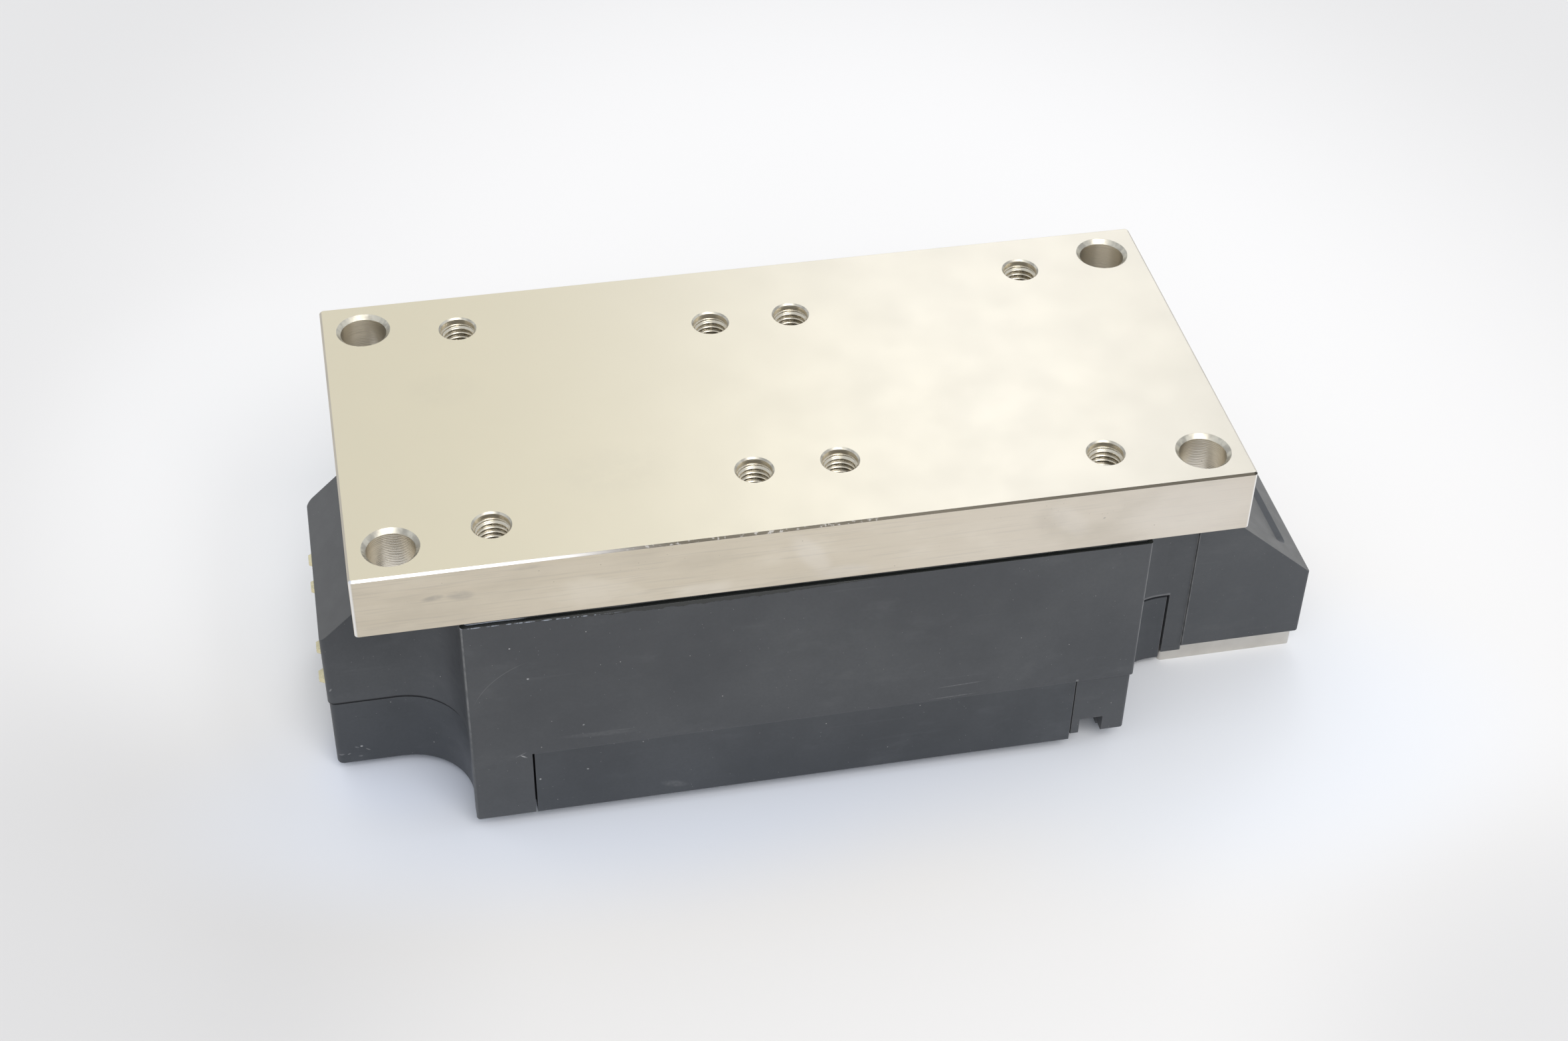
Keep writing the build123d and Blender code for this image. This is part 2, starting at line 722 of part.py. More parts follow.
for cell, side in cells.items():
    x = side * cell_x

    with BuildPart() as insulator_disc:
        with BuildSketch(level(plate_thickness)):
            with Locations((x, 0)):
                Circle(insulator_radius)
        extrude(amount=-insulator_thickness)
    finish(insulator_disc.part, f"insulator_disc_{cell}")

    with BuildPart() as locating_ring:
        with BuildSketch(level(lower_bar_depth)):
            with Locations((x, 0)):
                Circle(ring_outer_radius)
                Circle(ring_inner_radius, mode=Mode.SUBTRACT)
        extrude(amount=-ring_height)
        # Passage for terminal bar 1 and holes for the gate leads
        with BuildSketch(level(lower_bar_depth)):
            with Locations((x, 0)):
                Rectangle(3 * ring_outer_radius, slot_width)
        extrude(amount=-(bar_thickness + slot_clearance), mode=Mode.SUBTRACT)
        with BuildSketch(Plane.XZ):
            with Locations(*[(x + n * lead_spacing, -lead_start_depth) for n in (0, 1)]):
                Circle(lead_radius + lead_hole_clearance)
        extrude(amount=-side * 2 * ring_outer_radius, mode=Mode.SUBTRACT)
    finish(locating_ring.part, f"locating_ring_{cell}")

    with BuildPart() as disc_cell:
        with BuildSketch(Plane.XZ):
            with BuildLine():
                Polyline(
                    (x, -cell_depth),
                    (x + cell_face_radius, -cell_depth),
                    (x + cell_face_radius, -cell_depth - cell_thickness / 4),
                    (x + cell_radius, -cell_depth - cell_thickness / 4),
                    (x + cell_radius, -cell_depth - 3 * cell_thickness / 4),
                    (x + cell_face_radius, -cell_depth - 3 * cell_thickness / 4),
                    (x + cell_face_radius, -upper_bar_depth),
                    (x, -upper_bar_depth),
                    close=True,
                )
            make_face()
        revolve(axis=Axis((x, 0, 0), (0, 0, 1)))
    finish(disc_cell.part, f"disc_cell_{cell}")

    with BuildPart() as insulating_cap:
        with BuildSketch(level(cap_depth - cap_skirt)):
            with Locations((x, 0)):
                Circle(cap_radius)
        extrude(amount=-(cap_thickness + cap_skirt))
        with BuildSketch(level(cap_depth - cap_skirt)):
            with Locations((x, 0)):
                Circle(cell_radius + cap_clearance)
            with Locations((x - side * cap_radius, 0)):
                Rectangle(cap_radius, slot_width)
        extrude(amount=-cap_skirt, mode=Mode.SUBTRACT)
    finish(insulating_cap.part, f"insulating_cap_{cell}")

    with BuildPart() as disc_springs:
        for n in range(2):
            rim_z = -spring_depth - n * spring_thickness
            with BuildSketch(Plane.XZ):
                with BuildLine():
                    Polyline(
                        (x + spring_inner_radius, rim_z - spring_rise),
                        (x + spring_outer_radius, rim_z),
                        (x + spring_outer_radius, rim_z - spring_thickness),
                        (x + spring_inner_radius, rim_z - spring_rise - spring_thickness),
                        close=True,
                    )
                make_face()
            revolve(axis=Axis((x, 0, 0), (0, 0, 1)))
    finish(disc_springs.part, f"disc_springs_{cell}")

    with BuildPart() as clamp_yoke:
        yoke_screws = [point for point in screw_points if point[0] * side > 0]
        riser_notch_x = side * (riser_x + bar_thickness / 2 + yoke_to_riser - cell_x)
        trim_x = side * (cavity_half_length - head_clearance + cell_x)
        with BuildSketch(level(yoke_depth)):
            with Locations(*yoke_screws):
                Circle(head_diameter / 2 + yoke_rim)
            make_hull()
            # Room for the riser on the inner side, and a straight outer edge by the end wall
            with Locations((riser_notch_x, 0)):
                Rectangle(2 * cell_x, bar_width + 2 * yoke_to_bar, mode=Mode.SUBTRACT)
            with Locations((trim_x, 0)):
                Rectangle(2 * cell_x, 2 * outer_screw_y - head_diameter / 4, mode=Mode.SUBTRACT)
            with Locations(*yoke_screws):
                Circle(yoke_hole_diameter / 2, mode=Mode.SUBTRACT)
        extrude(amount=-yoke_thickness)
    finish(clamp_yoke.part, f"clamp_yoke_{cell}")

# Clamp screws: socket heads under the yokes, tips inside the tapped holes

with BuildPart() as clamp_screws:
    with BuildSketch(level(head_depth)):
        with Locations(*screw_points):
            Circle(head_diameter / 2)
    extrude(amount=-head_height)
    with BuildSketch(level(head_depth)):
        with Locations(*screw_points):
            Circle(screw_diameter / 2 - thread_clearance)
    extrude(amount=screw_length)
    tips = clamp_screws.edges().filter_by(GeomType.CIRCLE).group_by(Axis.Z)[-1]
    chamfer(tips, length=screw_tip_chamfer)
    with BuildSketch(level(head_depth + head_height)):
        with Locations(*screw_points):
            RegularPolygon(socket_width / 2, 6, major_radius=False)
    extrude(amount=socket_depth, mode=Mode.SUBTRACT)
finish(clamp_screws.part, "clamp_screws")

# Insulating sheet between the yokes and the bars, and the divider between the risers

sheet_half_width = inner_screw_y - head_diameter / 2 - sheet_to_head
sheet_slot = bar_thickness + 2 * inner_bend + slot_clearance
sheet_start = riser_xs[2] - bar_thickness
sheet_end = riser_xs[1] + bar_thickness

with BuildPart() as bar_insulator:
    with BuildSketch(level(head_depth)):
        with Locations(((sheet_start + sheet_end) / 2, 0)):
            Rectangle(sheet_end - sheet_start, 2 * sheet_half_width)
        with Locations((riser_x, 0), (-riser_x, 0)):
            Rectangle(sheet_slot, slot_width, mode=Mode.SUBTRACT)
    extrude(amount=-sheet_thickness)
finish(bar_insulator.part, "bar_insulator")

with BuildPart() as riser_divider:
    with BuildSketch(level(cell_depth)):
        Rectangle(divider_thickness, bar_width + 2 * divider_margin)
    extrude(amount=-(head_depth - cell_depth))
finish(riser_divider.part, "riser_divider")

# Gate tabs, pushed into their slots as far as the shoulder behind the tail

tip_x = gate_end_x - tab_projection
tip_end_x = tip_x + tab_tip_length
tail_offset = (tab_width - tab_tail_width) / 2

with BuildPart() as gate_tabs:
    with BuildSketch(level(tab_depth - tab_thickness / 2)):
        for y in tab_points:
            with BuildLine():
                Polyline(
                    (tip_x, y - tab_tip_width / 2),
                    (tip_x, y + tab_tip_width / 2),
                    (tip_end_x, y + tab_width / 2),
                    (gate_block_x, y + tab_width / 2),
                    (gate_block_x, y - tab_width / 2),
                    (tip_end_x, y - tab_width / 2),
                    close=True,
                )
            make_face()
            tail_y = y - tail_offset if y > 0 else y + tail_offset
            with Locations((gate_block_x, tail_y)):
                Rectangle(tab_tail_length, tab_tail_width, align=(Align.MIN, Align.CENTER))
    extrude(amount=-tab_thickness)
finish(gate_tabs.part, "gate_tabs")

# Gate leads, from each cell round its yoke and over the screw heads to the gate tabs

lead_side_y = cavity_half_width - lip_clearance - lip_thickness - lead_clearance - lead_radius
lead_end_x = gate_block_x + tab_tail_length / 2
lead_end_z = -(tab_depth + tab_thickness / 2)
lead_neck_ys = (tab_outer_y - tab_tail_width / 2, tab_inner_y - tail_offset)

for cell, side in cells.items():
    with BuildPart() as gate_leads:
        for n, neck_y in enumerate(lead_neck_ys):
            start_x = side * cell_x + n * lead_spacing
            start_y = sqrt(cell_radius**2 - (n * (lead_spacing - lead_radius)) ** 2) + lead_end_gap
            run_z = -(lead_depth + n * lead_step)
            with BuildLine() as lead_path:
                FilletPolyline(
                    (start_x, side * start_y, -lead_start_depth),
                    (start_x, side * lead_side_y, -lead_start_depth),
                    (start_x, side * lead_side_y, run_z),
                    (lead_turn_start - cavity_half_length, side * lead_side_y, run_z),
                    (lead_turn_end - cavity_half_length, side * neck_y, run_z),
                    (lead_end_x, side * neck_y, run_z),
                    (lead_end_x, side * neck_y, lead_end_z),
                    radius=lead_bend_radius,
                )
            with BuildSketch(Plane(origin=lead_path.line @ 0, z_dir=lead_path.line % 0)):
                Circle(lead_radius)
            sweep(path=lead_path.line)
    finish(gate_leads.part, f"gate_leads_{cell}")
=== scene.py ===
from math import cos, pi, radians, sin, tau

import bpy
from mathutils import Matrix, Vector, noise


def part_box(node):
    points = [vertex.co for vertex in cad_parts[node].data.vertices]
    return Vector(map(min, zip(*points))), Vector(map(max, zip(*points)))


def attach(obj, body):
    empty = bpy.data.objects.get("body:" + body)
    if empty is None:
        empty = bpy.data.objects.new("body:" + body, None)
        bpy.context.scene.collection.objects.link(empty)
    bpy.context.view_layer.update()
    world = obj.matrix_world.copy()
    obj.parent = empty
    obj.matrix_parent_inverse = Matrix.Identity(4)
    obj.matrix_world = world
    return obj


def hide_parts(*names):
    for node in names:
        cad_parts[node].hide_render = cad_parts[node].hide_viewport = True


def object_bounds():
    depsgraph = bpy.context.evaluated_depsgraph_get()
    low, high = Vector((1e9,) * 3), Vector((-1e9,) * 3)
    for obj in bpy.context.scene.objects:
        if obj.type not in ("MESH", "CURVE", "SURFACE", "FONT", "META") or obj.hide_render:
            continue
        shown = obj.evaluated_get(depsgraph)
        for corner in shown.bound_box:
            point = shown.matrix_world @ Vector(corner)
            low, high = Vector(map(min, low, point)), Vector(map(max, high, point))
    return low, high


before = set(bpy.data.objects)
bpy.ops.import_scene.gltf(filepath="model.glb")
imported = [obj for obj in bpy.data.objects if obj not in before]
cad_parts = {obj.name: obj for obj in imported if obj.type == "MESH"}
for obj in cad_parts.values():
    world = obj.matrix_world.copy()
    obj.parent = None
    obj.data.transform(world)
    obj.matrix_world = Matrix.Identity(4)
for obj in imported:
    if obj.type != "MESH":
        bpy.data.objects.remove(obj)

cad_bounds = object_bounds()

# Lengths are in metres, and mm turns millimetres into metres. The lists of marks and of the
# table's painted light and shade are in millimetres.
mm = 0.001

# The camera's place, its turn in degrees and its lens, fitted to the photograph's perspective
camera_place = (-57.735 * mm, -270.795 * mm, 217.744 * mm)
camera_turn = (48.7746, -1.0912, -11.4984)
camera_lens = 56.89
camera_sensor = 36.0
camera_clip = 10 * mm

# Levels and sizes read from the frame
plate_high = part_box("base_plate")[1]
seal_low, seal_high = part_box("base_seal")
nuts_low, nuts_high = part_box("terminal_nuts")
screw_tips_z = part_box("clamp_screws")[1].z
lid_lip_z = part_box("lid")[1].z
floor_z = cad_bounds[0].z

# Tapped holes of the base plate: M5 threads from a short plain bore down to the screw tips
tapped_radius = 2.5 * mm
tapped_minor_radius = 2.1 * mm
tapped_pitch = 0.8 * mm
tapped_bore_depth = 1.0 * mm
tapped_points = [
    (side * x * mm, sign * y * mm)
    for side in (1, -1)
    for x, y in ((42.5, 22.0), (6.0, 17.0))
    for sign in (1, -1)
]

# Nuts below the terminal plates: M10 threads and chamfered corners
nut_minor_radius = 4.25 * mm
nut_major_radius = 4.95 * mm
nut_pitch = 1.5 * mm
nut_corner_drop = 0.7 * mm
nut_half_width = (nuts_high.y - nuts_low.y) / 2
nut_corner_radius = nut_half_width / cos(pi / 6)
nut_chamfer_shares = (0.0, 0.12, 0.3, 0.55, 0.8, 1.0)
nut_xs = [x * mm for x in (69.5, 34.5, -0.5)]

# Form of an inner thread in shares of its pitch. What the crest and two flanks leave is the root.
crest_share = 0.25
flank_share = 0.31

# Fineness of the round pieces: columns in a turn, rows in a pitch, and the thinnest skin
ring_columns = 60
thread_rows = 12
thread_skin = 0.006 * mm

# Adhesive bead: how far it stands out at most, its width and its corners
bead_reach = 0.5 * mm
bead_width = 1.6 * mm
bead_corner_radius = 1.0 * mm
bead_corner_steps = 6
bead_profile_steps = 8
bead_step = 0.8 * mm

# Its unevenness: share of the reach that is sure, share that swells, and each swell's
# frequency in waves a metre with its weight
bead_sure = 0.55
bead_uneven = 0.45
bead_swells = ((120.0, 0.6), (480.0, 0.3))

# Strip along the plate's outline that counts as its edge, and how near it does so fully
plate_edge = 0.5 * mm
plate_edge_full = 0.35 * mm
bore_ring_pitch = 0.30 * mm

# Places on the housing and the lid that their finish follows
seal_inset = 0.15 * mm
lip_height = 2.3 * mm
body_half_length = seal_high.x + seal_inset
body_half_width = plate_high.y
parting_z = lid_lip_z - lip_height
rim_z = seal_low.z
block_step_x = 61.9 * mm
block_step_inner_y = 14.0 * mm
corner_rub_and_highlight_levels = (-38 * mm, -24 * mm)

# Slits at the terminal end: places, half widths and levels of the painted light in them
skirt_slit_x = 39.65 * mm
skirt_slit_half = 0.18 * mm
neck_slit_x = 58.6 * mm
neck_slit_half = 0.24 * mm
slit_top = parting_z + 0.38 * mm
level_slit = (parting_z - 0.03 * mm, parting_z + 0.34 * mm)

# Adhesive run over the housing's rim: its middle, half length, and least and greatest depth
smear_x = -17 * mm
smear_half_length = 34 * mm
smear_depths = (0.50 * mm, 0.85 * mm)

# Pale line in the adhesive at the left of the front side, and its depth below the rim
glint_left_x = -47 * mm
glint_deepest_x = -26 * mm
glint_depths = (0.10 * mm, 0.42 * mm)
glint_right_x = -33 * mm

# Painted glint on the bead itself, further left: a pale streak
bead_glint_range = (-47.5 * mm, -41 * mm)
bead_glint_z = rim_z + 0.15 * mm

# Soft ovals reach full strength at this share of their half sizes
oval_core = 0.35

# Samples of the normals that round the edges
edge_samples = 4

# Marks of use in millimetres: centre, half sizes, rise towards +X in degrees, and strength.
# Those with their y at side_y lie on the long side, and those at neck_y on the gate end's side.
side_y = -30.0
neck_y = -15.0
housing_marks = [
    ((-41.0, side_y, -36.6), (0.7, 1.0, 0.14), -35, 0.9),
    ((-41.4, side_y, -36.2), (1.1, 1.0, 0.08), 27, 0.4),
    ((-39.7, side_y, -21.5), (0.22, 1.0, 0.20), 0, 1.0),
    ((-41.9, side_y, -15.4), (0.17, 1.0, 0.15), 0, 0.9),
    ((-32.4, side_y, -31.8), (0.20, 1.0, 0.16), 20, 0.8),
    ((-30.5, side_y, -34.0), (6.5, 1.0, 0.55), -3, 0.07),
    ((-27.5, side_y, -33.7), (3.0, 1.0, 0.10), -2, 0.10),
    ((-66.6, neck_y, -33.5), (0.5, 1.0, 0.15), 60, 0.5),
    ((22.0, side_y, -33.7), (4.4, 1.0, 0.12), 2, 0.22),
    ((21.0, side_y, -35.9), (4.4, 1.0, 0.14), 1, 0.18),
]
lid_marks = [
    ((-32.1, side_y, -40.8), (0.24, 1.0, 0.18), -20, 0.9),
    ((-38.9, side_y, -41.6), (0.20, 1.0, 0.20), 0, 0.9),
    ((-19.7, side_y, -46.3), (2.4, 1.0, 0.8), -15, 0.10),
    ((-63.3, neck_y, -45.7), (0.25, 1.0, 0.2), 0, 0.9),
    ((-64.0, neck_y, -45.8), (0.4, 1.0, 0.12), -20, 0.5),
    ((-62.4, neck_y, -46.5), (0.5, 1.0, 0.12), -35, 0.45),
    ((-66.3, neck_y, -47.0), (0.6, 1.0, 0.2), 10, 0.35),
    ((-63.6, neck_y, -47.7), (0.4, 1.0, 0.2), 0, 0.4),
    ((-65.2, neck_y, -47.0), (0.35, 1.0, 0.12), 20, 0.4),
]
scratch_centre = (-35.74, side_y, -30.34)
scratch_radius = 12.62
scratch_middle = (-44.2, side_y, -21.0)
scratch_half_length = 6.0
scratch_half_width = 0.07
plate_stains = [
    ((-51.4, side_y, -4.5), (1.9, 1.0, 0.6), 8, 0.55),
    ((-47.7, side_y, -4.6), (2.4, 1.0, 1.1), -5, 0.42),
    ((-38.8, side_y, -1.1), (2.4, 1.0, 0.5), 4, 0.22),
    ((32.5, side_y, -3.8), (3.4, 1.0, 2.6), 0, 0.12),
    ((40.4, side_y, -4.8), (0.26, 1.0, 0.16), 30, 1.0),
    ((-25.0, -14.0, 0.0), (11.0, 7.0, 1.0), 0, 0.05),
    ((-46.0, 8.0, 0.0), (7.0, 5.0, 1.0), 0, 0.04),
]
plate_dots = [
    ((-38.0, side_y, -1.0), (9.0, 1.0, 3.0), 0, 0.8),
    ((-20.0, side_y, -2.0), (12.0, 1.0, 4.0), 0, 0.5),
    ((34.0, side_y, -3.0), (14.0, 1.0, 4.0), 0, 0.4),
]
plate_lights = [
    ((-0.6, side_y, -5.0), (6.0, 1.0, 2.2), -55, 0.20),
    ((4.0, side_y, -8.7), (5.0, 1.0, 1.6), 0, 0.18),
    ((-15.6, side_y, -8.9), (5.0, 1.0, 1.6), 0, 0.14),
    ((35.5, side_y, -4.6), (5.0, 1.0, 2.4), -45, 0.14),
    ((53.0, side_y, -5.0), (14.0, 1.0, 7.0), 0, 0.16),
]

# Painted light and shade on the table in millimetres. The pool of painted light: centre and half sizes.
# The ovals: centre, half sizes, strength and colour; the dark ones are painted shade, the pale ones
# painted light, and the bluish ones the bluish tint of painted shade near the part.
table_light_pool = ((35.0, 60.0), (185.0, 230.0))
table_light_and_shade = [
    ((-112.0, -45.0), (75.0, 75.0), 0.8, (0.70, 0.684, 0.665, 1)),
    ((105.0, -110.0), (75.0, 75.0), 0.7, (0.70, 0.684, 0.665, 1)),
    ((-74.0, 50.0), (50.0, 75.0), 0.45, (0.97, 0.955, 0.93, 1)),
    ((-66.0, 22.0), (18.0, 52.0), 1.0, (0.98, 0.965, 0.94, 1)),
    ((62.0, -30.0), (60.0, 40.0), 0.8, (0.88, 0.90, 0.935, 1)),
    ((-18.0, -22.0), (86.0, 33.0), 0.9, (0.835, 0.873, 0.95, 1)),
    ((-54.0, -15.0), (20.0, 14.0), 0.8, (0.83, 0.88, 0.99, 1)),
]


# Node materials, put together from a few small helpers


def new_material(name):
    """A material with its node tree and its Principled shader."""
    material = bpy.data.materials.new(name)
    material.use_nodes = True
    return material, material.node_tree, material.node_tree.nodes["Principled BSDF"]


def node(tree, kind, inputs, **settings):
    """Adds a node. An input is given by name or number, as a value or as another node's socket."""
    made = tree.nodes.new(kind)
    for key, value in settings.items():
        setattr(made, key, value)
    for key, value in inputs.items():
        if isinstance(value, bpy.types.NodeSocket):
            tree.links.new(value, made.inputs[key])
        else:
            made.inputs[key].default_value = value
    return made


def connect(tree, shader, **inputs):
    """Links sockets to the shader's inputs, whose names have underscores for blanks."""
    for key, value in inputs.items():
        tree.links.new(value, shader.inputs[key.replace("_", " ")])


def combine(tree, operation, *values):
    """Values taken together by one arithmetic operation, from the first to the last."""
    result = values[0]
    for value in values[1:]:
        result = node(tree, "ShaderNodeMath", {0: result, 1: value}, operation=operation).outputs[0]
    return result


def product(tree, *values):
    """All the values multiplied."""
    return combine(tree, "MULTIPLY", *values)


def total(tree, *values):
    """All the values added up."""
    return combine(tree, "ADD", *values)


def difference(tree, a, b):
    """Value a less value b."""
    return combine(tree, "SUBTRACT", a, b)


def highest(tree, *values):
    """The highest of the values."""
    return combine(tree, "MAXIMUM", *values)


def distance(tree, value, level=0.0):
    """How far a value lies from a level, to either side."""
    away = difference(tree, value, level)
    return node(tree, "ShaderNodeMath", {0: away}, operation="ABSOLUTE").outputs[0]


def ramp(tree, value, start, end, low=0.0, high=1.0):
    """Smooth step of a value from low at start to high at end."""
    inputs = {"Value": value, "From Min": start, "From Max": end, "To Min": low, "To Max": high}
    return node(tree, "ShaderNodeMapRange", inputs, interpolation_type="SMOOTHSTEP").outputs[0]


def inside(tree, value, start, end, fade):
    """1 where the value lies between start and end, with edges of that fade."""
    return product(tree, ramp(tree, value, start - fade, start), ramp(tree, value, end + fade, end))


def mix(tree, factor, a, b):
    """Value a where the factor is 0 and value b where it is 1."""
    return node(tree, "ShaderNodeMix", {0: factor, 2: a, 3: b}).outputs[0]


def blend(tree, factor, a, b):
    """Colour a where the factor is 0 and colour b where it is 1."""
    return node(tree, "ShaderNodeMix", {0: factor, 6: a, 7: b}, data_type="RGBA").outputs[2]


def paint(tree, colour, *layers):
    """A colour with layers laid over it in turn, each given as its mask and its colour."""
    for mask, over in layers:
        colour = blend(tree, mask, colour, over)
    return colour


def surface_point(tree, stretch=(1, 1, 1)):
    """The surface point in metres, along axes that may be stretched."""
    point = node(tree, "ShaderNodeTexCoord", {}).outputs["Object"]
    if stretch == (1, 1, 1):
        return point
    return node(tree, "ShaderNodeVectorMath", {0: point, 1: stretch}, operation="MULTIPLY").outputs[0]


def coordinates(tree):
    """The x, y and z of the surface point."""
    return node(tree, "ShaderNodeSeparateXYZ", {0: surface_point(tree)}).outputs


def true_normal(tree):
    """The direction that the surface faces."""
    return node(tree, "ShaderNodeNewGeometry", {}).outputs["Normal"]


def upward(tree):
    """How far the surface faces up: 1 on a level top and 0 on an upright side."""
    return node(tree, "ShaderNodeSeparateXYZ", {0: true_normal(tree)}).outputs[2]


def grain(tree, size, stretch=(1, 1, 1), detail=3.0, roughness=0.55):
    """Noise whose features are about that size in metres."""
    inputs = {
        "Vector": surface_point(tree, stretch),
        "Scale": 1 / size,
        "Detail": detail,
        "Roughness": roughness,
    }
    return node(tree, "ShaderNodeTexNoise", inputs).outputs["Fac"]


def specks(tree, spacing, radius, seldom):
    """Small round spots, one in a cell of that spacing or, in that share of the cells, none."""
    cells = node(tree, "ShaderNodeTexVoronoi", {"Vector": surface_point(tree), "Scale": 1 / spacing})
    spot = ramp(tree, cells.outputs["Distance"], radius / spacing, 0.4 * radius / spacing)
    lot = node(tree, "ShaderNodeSeparateColor", {0: cells.outputs["Color"]}).outputs[0]
    return product(tree, spot, ramp(tree, lot, seldom, seldom + 0.05))


def soft_edges(tree, radius):
    """Normals that turn smoothly over the edges, as on a cast or moulded corner."""
    return node(tree, "ShaderNodeBevel", {"Radius": radius}, samples=edge_samples).outputs[0]


def bump(tree, height, distance_for_one, edge_radius=None):
    """Surface relief of a height whose 1 stands for that distance, on edges that may be rounded."""
    inputs = {"Height": height, "Distance": distance_for_one, "Strength": 1.0}
    if edge_radius is not None:
        inputs["Normal"] = soft_edges(tree, edge_radius)
    return node(tree, "ShaderNodeBump", inputs).outputs[0]


def edge_mask(tree, radius):
    """1 on the edges and 0 on the flats, from how far the rounded normal leaves the true one."""
    both = {0: true_normal(tree), 1: soft_edges(tree, radius)}
    likeness = node(tree, "ShaderNodeVectorMath", both, operation="DOT_PRODUCT").outputs["Value"]
    return ramp(tree, likeness, 0.995, 0.86)


# Marks, whose places and sizes are in millimetres


def mark_radius(tree, centre, reach, rise=0.0):
    """How far the surface point is from a mark's centre, in the mark's own half sizes."""
    inputs = {
        "Vector": surface_point(tree),
        "Location": [v * mm for v in centre],
        "Rotation": (0, -radians(rise), 0),
        "Scale": [v * mm for v in reach],
    }
    local = node(tree, "ShaderNodeMapping", inputs, vector_type="TEXTURE").outputs[0]
    return node(tree, "ShaderNodeVectorMath", {0: local}, operation="LENGTH").outputs["Value"]


def oval(tree, centre, reach, rise=0.0):
    """1 in the middle of a soft oval and 0 outside it."""
    return ramp(tree, mark_radius(tree, centre, reach, rise), 1.0, oval_core)


def all_marks(tree, marks):
    """The strongest of the marks at each point."""
    return highest(tree, *[
        product(tree, oval(tree, centre, reach, rise), strength)
        for centre, reach, rise, strength in marks
    ])


def arc_scratch(tree):
    """The curved hair scratch near the housing's left corner."""
    away = distance(tree, mark_radius(tree, scratch_centre, (1.0, 1.0, 1.0)), scratch_radius)
    line = ramp(tree, away, scratch_half_width, 0.4 * scratch_half_width)
    return product(tree, line, oval(tree, scratch_middle, (scratch_half_length, 1.0, scratch_half_length)))


# The base plate's finish


def face_colour(tree, x):
    """Mounting face: warm at the left, whiter at the right, with faint clouds."""
    rightwards = ramp(tree, x, -55 * mm, 35 * mm)
    clean = blend(tree, rightwards, (0.810, 0.728, 0.535, 1), (0.690, 0.644, 0.556, 1))
    return blend(tree, product(tree, grain(tree, 16 * mm), 0.15), clean, (0.66, 0.60, 0.46, 1))


def side_colour(tree, x, streak, hair):
    """Milled sides: greyer, with fine streaks along the edge, and light and dark patches."""
    patch = grain(tree, 11 * mm, stretch=(0.6, 0.6, 1.3), detail=4.0)
    return paint(
        tree,
        (0.615, 0.550, 0.440, 1),
        (streak, (0.715, 0.655, 0.545, 1)),
        (ramp(tree, hair, 0.52, 0.70, 0.0, 0.30), (0.46, 0.42, 0.36, 1)),
        (ramp(tree, x, -20 * mm, 60 * mm, 0.0, 0.5), (0.80, 0.75, 0.69, 1)),
        (ramp(tree, patch, 0.45, 0.75, 0.0, 0.45), (0.50, 0.455, 0.375, 1)),
        (ramp(tree, patch, 0.45, 0.25, 0.0, 0.35), (0.84, 0.79, 0.69, 1)),
        (all_marks(tree, plate_lights), (0.90, 0.87, 0.83, 1)),
    )


def plate_pits(tree, on_top):
    """Small dark pits, most of them on the sides, and close together in a few places."""
    scattered = specks(tree, 1.6 * mm, 0.09 * mm, seldom=0.72)
    close = specks(tree, 0.8 * mm, 0.10 * mm, seldom=0.35)
    close = product(tree, close, all_marks(tree, plate_dots))
    return product(tree, highest(tree, scattered, close), ramp(tree, on_top, 0.0, 1.0, 0.7, 0.10))


def darkened_chamfer(tree, x):
    """Where the front chamfer is painted dark: not at the left, and less where it is nicked."""
    nicks = ramp(tree, grain(tree, 0.5 * mm, detail=4.0), 0.52, 0.66)
    nicks = product(tree, nicks, inside(tree, x, -20 * mm, 4 * mm, 10 * mm))
    return product(tree, ramp(tree, x, -56 * mm, -18 * mm), ramp(tree, nicks, 0.0, 1.0, 1.0, 0.85))


def turned_colour(tree):
    """Lines of the cutter round the holes' chamfers."""
    turned = grain(tree, 1.3 * mm, stretch=(1, 1, 0.1), detail=2.0)
    return blend(tree, ramp(tree, turned, 0.35, 0.65), (0.48, 0.45, 0.38, 1), (0.72, 0.68, 0.57, 1))


